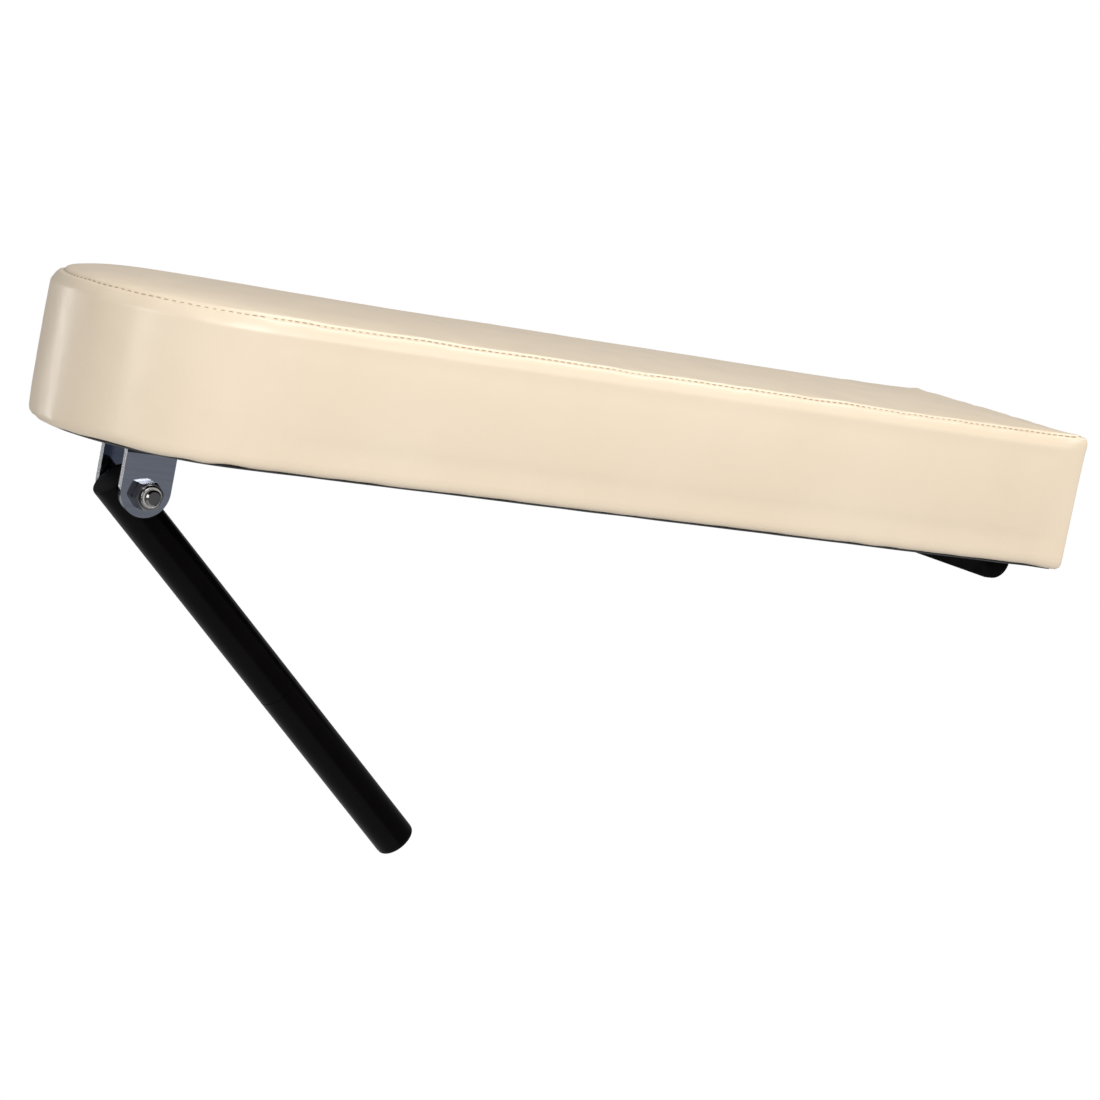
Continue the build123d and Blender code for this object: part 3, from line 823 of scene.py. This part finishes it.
# Painted highlight: the bracket's cut edges and bends get a near-white colour for the white surroundings they
# reflect.
dress(painted_edge_highlight(steel_with_painted_reflection, (0.86, 0.87, 0.88)), "hinge_bracket")
# Painted reflection: the zinc's base colour is kept dark so the nut's faces look as dark as the dark
# surroundings they reflect.
dress(plain_finish("zinc_with_painted_dark_reflection", (0.17, 0.165, 0.165), (0.27, 0.26, 0.26), (0.08, 0.16),
                   metallic=1.0, patch=90, grain=700, depth=0.004),
      "pivot_bolt", "lock_nut", "bracket_screws", "tee_nuts", "rest_bar_screws")
dress(plain_finish("staple_wire", (0.50, 0.50, 0.50), (0.62, 0.62, 0.61), (0.25, 0.40),
                   metallic=1.0, patch=200, grain=1500, depth=0.01), "cover_staples", "dust_cover_staples")
dress(plain_finish("natural_nylon", (0.72, 0.71, 0.66), (0.80, 0.79, 0.75), (0.40, 0.52),
                   grain=1200, depth=0.01), "lock_nut_insert", "spacer_washers")
dress(plain_finish("black_paint", (0.0010, 0.0006, 0.0007), (0.0018, 0.0012, 0.0013), (0.16, 0.22),
                   patch=60, depth=0.0012, specular=0.07), "post_tube")
dress(plain_finish("black_plastic", (0.0010, 0.0008, 0.0009), (0.002, 0.0016, 0.0017), (0.34, 0.46),
                   grain=1600, depth=0.004, specular=0.09), "post_upper_plug", "post_lower_plug")
dress(plain_finish("black_rubber", (0.001, 0.001, 0.001), (0.003, 0.003, 0.003), (0.60, 0.78),
                   specular=0.08), "rest_bar")

# ---------------------------------------------------------------- studio

AIM = Vector((START_X + 295.5 * MM, 0.0, BASE_Z - 33.3 * MM))
CAMERA_DISTANCE = 1.8367
CAMERA_AZIMUTH = math.radians(-32.53)  # round from straight in front, towards the pad's round end
CAMERA_ELEVATION = math.radians(7.39)
CAMERA_ROLL = math.radians(11.25)
CAMERA_LENS = 115.6
SENSOR_WIDTH = 36
FLOOR_DROP = 0.95  # the part hangs from its post, well over the floor
FLOOR_RADIUS = 1.9
FLOOR_SIDES = 96


def direction(azimuth, elevation):
    """Unit vector towards azimuth (0 is the front, -Y, and positive is towards +X) and elevation."""
    return Vector((math.sin(azimuth) * math.cos(elevation), -math.cos(azimuth) * math.cos(elevation),
                   math.sin(elevation)))


def make_camera():
    """The camera, aimed at the pad's middle."""
    back = direction(CAMERA_AZIMUTH, CAMERA_ELEVATION)
    data = bpy.data.cameras.new("camera")
    data.lens = CAMERA_LENS
    data.sensor_width = SENSOR_WIDTH
    data.clip_start = 0.05
    camera = bpy.data.objects.new("camera", data)
    turn = (-back).to_track_quat("-Z", "Y").to_matrix() @ Matrix.Rotation(CAMERA_ROLL, 3, "Z")
    camera.matrix_world = Matrix.Translation(AIM + back * CAMERA_DISTANCE) @ turn.to_4x4()
    bpy.context.scene.collection.objects.link(camera)
    bpy.context.scene.camera = camera


def softbox(name, azimuth, elevation, distance, size, power, colour=(1, 1, 1)):
    """A rectangular light that faces the pad. Angles in degrees, size (width, height) in metres."""
    data = bpy.data.lights.new(name, "AREA")
    data.shape = "RECTANGLE"
    data.size, data.size_y = size
    data.energy = power
    data.color = colour
    light = bpy.data.objects.new(name, data)
    toward = direction(math.radians(azimuth), math.radians(elevation))
    turn = toward.to_track_quat("Z", "Y").to_matrix()
    light.matrix_world = Matrix.Translation(AIM + toward * distance) @ turn.to_4x4()
    bpy.context.scene.collection.objects.link(light)
    light.visible_camera = False


def make_world():
    """White to the camera; a dim cool surround for everything that the lights don't reach."""
    world = bpy.data.worlds.new("studio")
    bpy.context.scene.world = world
    world.use_nodes = True
    tree = world.node_tree
    tree.nodes.clear()
    output = tree.nodes.new("ShaderNodeOutputWorld")
    seen = tree.nodes.new("ShaderNodeBackground")
    seen.inputs["Color"].default_value = (1, 1, 1, 1)
    around = tree.nodes.new("ShaderNodeBackground")
    around.inputs["Color"].default_value = (0.96, 0.97, 1.0, 1)
    around.inputs["Strength"].default_value = 0.30
    path = tree.nodes.new("ShaderNodeLightPath")
    mix = tree.nodes.new("ShaderNodeMixShader")
    link(tree, path.outputs["Is Camera Ray"], mix.inputs[0])
    link(tree, around.outputs[0], mix.inputs[1])
    link(tree, seen.outputs[0], mix.inputs[2])
    link(tree, mix.outputs[0], output.inputs["Surface"])


def make_floor():
    """A plain white floor, well under the part, which is held by its post. From below it's clear."""
    floor_z = cad_box[0][2] - FLOOR_DROP
    rim = []
    for i in range(FLOOR_SIDES):
        turn = math.tau * i / FLOOR_SIDES
        rim.append((AIM.x + FLOOR_RADIUS * math.cos(turn), FLOOR_RADIUS * math.sin(turn), floor_z))
    floor = new_object("floor", rim, [tuple(range(FLOOR_SIDES))], smooth=False)
    material, tree, shader, vector = start_material("white_floor")
    tone = ramp(tree, noise_node(tree, vector, 3, 2), 0, 1)
    link(tree, blend_colours(tree, tone, (0.84, 0.84, 0.84), (0.87, 0.87, 0.87)), shader.inputs["Base Color"])
    shader.inputs["Roughness"].default_value = 0.9
    clear = tree.nodes.new("ShaderNodeBsdfTransparent")
    side = tree.nodes.new("ShaderNodeNewGeometry")
    mix = tree.nodes.new("ShaderNodeMixShader")
    link(tree, side.outputs["Backfacing"], mix.inputs[0])
    link(tree, shader.outputs[0], mix.inputs[1])
    link(tree, clear.outputs[0], mix.inputs[2])
    link(tree, mix.outputs[0], tree.nodes["Material Output"].inputs["Surface"])
    floor.data.materials.append(material)


make_camera()
make_world()
make_floor()
softbox("key", azimuth=0, elevation=30, distance=2.1, size=(1.6, 1.1), power=33.5)
softbox("overhead", azimuth=96, elevation=66, distance=1.9, size=(1.4, 1.0), power=16.5,
        colour=(1.0, 0.97, 0.92))
softbox("left_wall", azimuth=-71, elevation=10, distance=2.4, size=(0.7, 1.1), power=11)
softbox("back_strip", azimuth=-140, elevation=-2, distance=2.2, size=(0.50, 1.1), power=6.5)
softbox("low_patch", azimuth=-76, elevation=-12, distance=2.2, size=(0.16, 0.22), power=1.2)
bpy.context.scene.view_settings.view_transform = "Standard"
